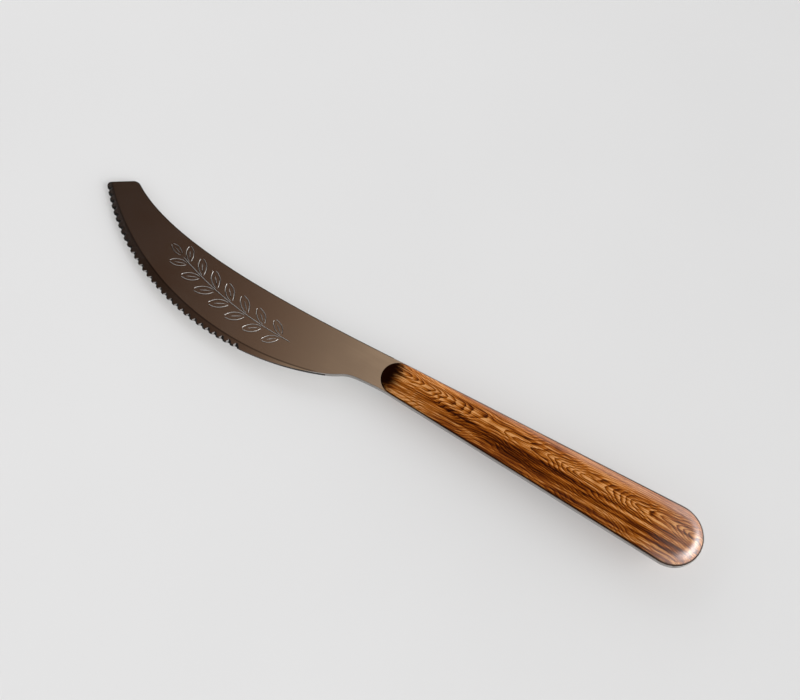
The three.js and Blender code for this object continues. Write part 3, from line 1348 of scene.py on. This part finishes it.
    def has_glint(self, face: bpy.types.MeshPolygon) -> bool:
        """Tells whether a tooth's face looks to the heel, in the belly's half of the row.

        Args:
            face: The face.

        Returns:
            Whether it does.
        """
        x, y = face.center.x / MM - self.edge_centre[0], face.center.y / MM - self.edge_centre[1]
        towards_heel = (face.normal.y * x - face.normal.x * y) / math.hypot(x, y)
        return towards_heel > self.glint_turn and math.atan2(x, -y) > self.glint_start

    def skin(self, face: bpy.types.MeshPolygon, spine: list[Point], sprig: Sprig) -> Skin:
        """Chooses a face's finish by its place and tilt, painting shade, dark reflections and glints
        onto it.

        Args:
            face: The face.
            spine: Points on the spine, from the tang to the tip.
            sprig: The sprig that is cut into the blade.

        Returns:
            The finish.
        """
        x, y, z = face.center / MM
        tilt = face.normal.z
        if abs(tilt) >= self.level_tilt:
            return Skin.POLISHED
        # painted shade and dark reflection on the rim along the spine and tip
        if x < self.scale_front and y > self.rim_line(spine, x):
            return Skin.DARK
        if x > self.scale_front - self.heel_forward:
            # painted shade on the rim round the butt; plain sheared steel elsewhere on the handle's
            # rim
            is_butt = x > self.tang.butt_centre[0] + self.butt_rim_start
            return Skin.BUTT if is_butt else Skin.SHEARED
        is_groove = z > self.top - 1.1 * sprig.groove_depth
        # groove walls facing the light keep the etched finish; the others get painted shade
        if is_groove and self.upright_tilt < tilt < self.groove_tilt:
            return Skin.ETCHED if sprig.is_bright(face) else Skin.DARK
        # painted glints on the tooth faces that look to the heel, painted shade on the others
        if self.upright_tilt < tilt < self.notch_tilt:
            return Skin.GLINT if self.has_glint(face) else Skin.DARK
        # painted shade on the upright faces of edge and teeth
        return Skin.DARK if abs(tilt) <= self.upright_tilt else Skin.POLISHED

    def mark_faces(self, blade: bpy.types.Object, sprig: Sprig) -> None:
        """Gives the blade's rim, teeth and grooves their own finishes, with painted shade, dark
        reflections and glints.

        Args:
            blade: The finished blade.
            sprig: The sprig that is cut into it.
        """
        for finish in (SHEARED_STEEL, PAINTED_SHADE, ETCHED_STEEL, PAINTED_GLINT, BUTT_PAINTED_SHADE):
            blade.data.materials.append(finish.material())
        steps = 400
        spine = [curve_point(self.spine, step / steps) for step in range(steps + 1)]
        for face in blade.data.polygons:
            face.material_index = self.skin(face, spine, sprig)

    def rim_line(self, spine: list[Point], along: float) -> float:
        """Gives a height just under the spine, or under the tip's cut in front of it.

        Args:
            spine: Points on the spine, from the tang to the tip.
            along: Place along X.

        Returns:
            The height along Y.
        """
        above = next((y for x, y in spine if x <= along), self.tip_corner[1] + self.rim_reach)
        return above - self.rim_reach


class Side(Enum):
    """Which side of the tang a scale is on."""

    UPPER = 1
    LOWER = -1


@dataclass
class WoodScale:
    """Rounded wood scale on one side of the tang."""

    side: Side
    plan: HandlePlan
    pins: PinRow
    inner: float
    thickness: float
    wall: float = 0.05
    rounding: float = 4.5
    rounding_start: float = math.radians(45)
    rounding_steps: int = 18
    pin_cover: float = 1.2
    flat_margin: float = 0.3

    @classmethod
    def from_frame(cls, side: Side, pins: PinRow) -> "WoodScale":
        """Takes the sizes from the scale's CAD node.

        Args:
            side: Which scale it is.
            pins: The row of pin holes.

        Returns:
            The scale, not yet built.
        """
        low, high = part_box(f"{side.name.lower()}_scale")
        plan = HandlePlan(low.x / MM, high.x / MM, FRONT_RADIUS, high.y / MM)
        inner = low.z if side is Side.UPPER else high.z
        return cls(side, plan, pins, inner / MM, (high.z - low.z) / MM)

    def block(self) -> bpy.types.Object:
        """Models the scale: a thin upright edge, then rings that follow part of an ellipse.

        Returns:
            The scale without its holes.
        """
        plan, up = self.plan, self.side.value
        start = polar(plan.butt_centre, -plan.turn, plan.butt_radius)
        pen = OutlinePen(f"{self.side.name.lower()}_wood_scale", start, self.inner)
        pen.arc(plan.butt_centre, 2 * plan.turn, 72)
        pen.line_to(polar(plan.front_centre, plan.turn, plan.front_radius))
        pen.arc(plan.front_centre, 2 * (math.pi - plan.turn), 56)
        pen.fill()
        pen.pull((0, 0, up * self.wall))
        wide = self.rounding / math.cos(self.rounding_start)
        tall = (self.thickness - self.wall) / (1 - math.sin(self.rounding_start))
        part = (math.pi / 2 - self.rounding_start) / self.rounding_steps
        for step in range(self.rounding_steps):
            first = self.rounding_start + step * part
            inward = wide * (math.cos(first) - math.cos(first + part))
            rise = tall * (math.sin(first + part) - math.sin(first))
            bpy.ops.mesh.inset(thickness=inward * MM, depth=0)
            bpy.ops.transform.translate(value=(0, 0, up * rise * MM))
        bpy.ops.mesh.inset(thickness=self.flat_margin * MM, depth=0)
        return pen.done()

    def build(self) -> bpy.types.Object:
        """Models the scale with its blind pin holes and gives it its wood.

        Returns:
            The scale.
        """
        scale = self.block()
        up = self.side.value
        ends = sorted((self.inner - up, self.inner + up * (self.thickness - self.pin_cover)))
        Bench.cut(scale, self.pins.cutter(*ends))
        Bench.smooth(scale, angle=30)
        name = f"{self.side.name.lower()}_scale"
        shift = 0.0 if self.side is Side.UPPER else 11.0
        wood = LacqueredWood(f"{name}_wood", self.inner, up, self.plan.front, shift)
        Bench.dress(scale, "scale_wood", wood, name)
        return scale


class HiddenPieces:
    """Adhesive films and pins, which keep their CAD shape."""

    finishes = {
        ADHESIVE: ("upper_bond_film", "lower_bond_film"),
        PIN_STEEL: ("front_pin", "middle_pin", "rear_pin"),
    }

    def dress(self) -> None:
        """Gives each CAD node its finish."""
        for finish, nodes in self.finishes.items():
            made = finish.material()
            for node in nodes:
                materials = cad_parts[node].data.materials
                materials.clear()
                materials.append(made)
                LOG.info("%s: %s", node, finish.name)


@dataclass(frozen=True)
class Softbox:
    """Large soft lamp that looks at a point of the knife. Places are metres."""

    name: str
    place: tuple[float, float, float]
    target: tuple[float, float, float]
    width: float
    height: float
    watts: float

    def build(self) -> None:
        """Hangs the lamp."""
        bpy.ops.object.light_add(type="AREA", location=self.place)
        lamp = bpy.context.object
        lamp.name = self.name
        lamp.data.shape = "RECTANGLE"
        lamp.data.size = self.width
        lamp.data.size_y = self.height
        lamp.data.energy = self.watts
        aim = Vector(self.target) - Vector(self.place)
        lamp.rotation_euler = aim.to_track_quat("-Z", "Y").to_euler()


@dataclass
class Studio:
    """Pale table, soft lamps, room and camera."""

    table_size: float = 2.4
    contact: Point = (-50.1, -165.0)
    tip_height: float = 3.25
    lens: float = 45.0
    sensor: float = 36.0
    eye: tuple[float, float, float] = (-0.01162, -0.11068, 0.29201)
    right: tuple[float, float, float] = (0.86474, 0.49576, 0.08026)
    back: tuple[float, float, float] = (0.13346, -0.38092, 0.91492)
    softboxes: tuple[Softbox, ...] = (
        Softbox("butt_window", (2.66, 0.2, 1.34), (0.05, 0, 0), 3.0, 1.5, 70.0),
        Softbox("low_window", (2.65, 0.6, 0.42), (0.05, 0, 0), 3.6, 0.8, 42.0),
    )

    def lay_table(self) -> None:
        """Lays the table top under the knife, which leans on its handle's front and its tip."""
        bpy.ops.object.select_all(action="DESELECT")
        lean = math.atan2(self.tip_height, self.contact[0] - self.contact[1])
        place = (self.contact[0] * MM, 0, CAD_BOX[0].z)
        bpy.ops.mesh.primitive_plane_add(size=self.table_size, location=place, rotation=(0, lean, 0))
        table = bpy.context.object
        table.name = "table"
        bpy.ops.object.transform_apply(location=True, rotation=True, scale=False)
        table.data.materials.append(TABLE_TOP.material())

    def light_room(self) -> None:
        """Makes a room with pale walls, brighter at the back and left, under a dim ceiling."""
        world = bpy.data.worlds.new("room")
        bpy.context.scene.world = world
        sheet = ShaderSheet(world)
        ray = sheet.add("ShaderNodeTexCoord", output="Generated")
        x, y, z = sheet.axes(ray)
        ceiling = ((x * 10 + y + 0.28).exponential() + 0.025).least(0.5)
        ceiling = ceiling * (1 - y.rise(0.4, 0.65) * 0.85) * (1 - x.rise(-0.1, 0.04) * 0.8)
        low = 1 - z.rise(0.5, 0.72)
        far = y.rise(0.1, 0.7)
        left = (0 - x).rise(0.2, 0.7)
        walls = low * (0.88 + far * 1.1 + left * 1.1)
        warmth = sheet.blend(ceiling.rise(0.0, 0.4), (1.0, 0.55, 0.36), (1.0, 0.72, 0.5))
        total = ceiling + walls
        tint = sheet.blend(walls / total, warmth, (0.95, 1.0, 1.06))
        too_bright = total - total.least(1.0)
        inputs = {"Color": tint, "Strength": total - too_bright * sheet.seen()}
        sheet.close(sheet.add("ShaderNodeBackground", None, inputs), "ShaderNodeOutputWorld")

    def set_camera(self) -> None:
        """Stands the camera at the photograph's viewing angle."""
        bpy.ops.object.camera_add()
        camera = bpy.context.object
        right, back = Vector(self.right).normalized(), Vector(self.back).normalized()
        up = back.cross(right)
        turn = Matrix((right, up, back)).transposed().to_4x4()
        camera.matrix_world = Matrix.Translation(self.eye) @ turn
        camera.data.lens = self.lens
        camera.data.sensor_width = self.sensor
        camera.data.clip_start = 0.01
        bpy.context.scene.camera = camera

    def build(self) -> None:
        """Sets up table, lamps, room and camera."""
        bpy.context.scene.view_settings.view_transform = "Standard"
        self.lay_table()
        self.light_room()
        for softbox in self.softboxes:
            softbox.build()
        self.set_camera()


def blade_from_frame(pins: PinRow) -> Blade:
    """Takes the blade's sizes from its CAD node and the scale's.

    Args:
        pins: The row of pin holes.

    Returns:
        The blade, not yet built.
    """
    low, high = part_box("blade")
    scale_low, scale_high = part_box("upper_scale")
    front = scale_low.x / MM
    butt_rim = high.x - scale_high.x
    front_rim = 0.33
    butt_radius = (scale_high.y + butt_rim) / MM
    tang = HandlePlan(front - front_rim, high.x / MM, FRONT_RADIUS + front_rim, butt_radius)
    blade_length = 111.6
    return Blade(tang, pins, low.z / MM, high.z / MM, blade_length, -low.y / MM, front)


def main() -> None:
    """Builds and dresses the knife, then its studio."""
    logging.basicConfig(level=logging.INFO)
    pins = PinRow.from_frame()
    blade_from_frame(pins).build()
    for side in Side:
        WoodScale.from_frame(side, pins).build()
    HiddenPieces().dress()
    Studio().build()


if __name__ == "__main__":
    main()
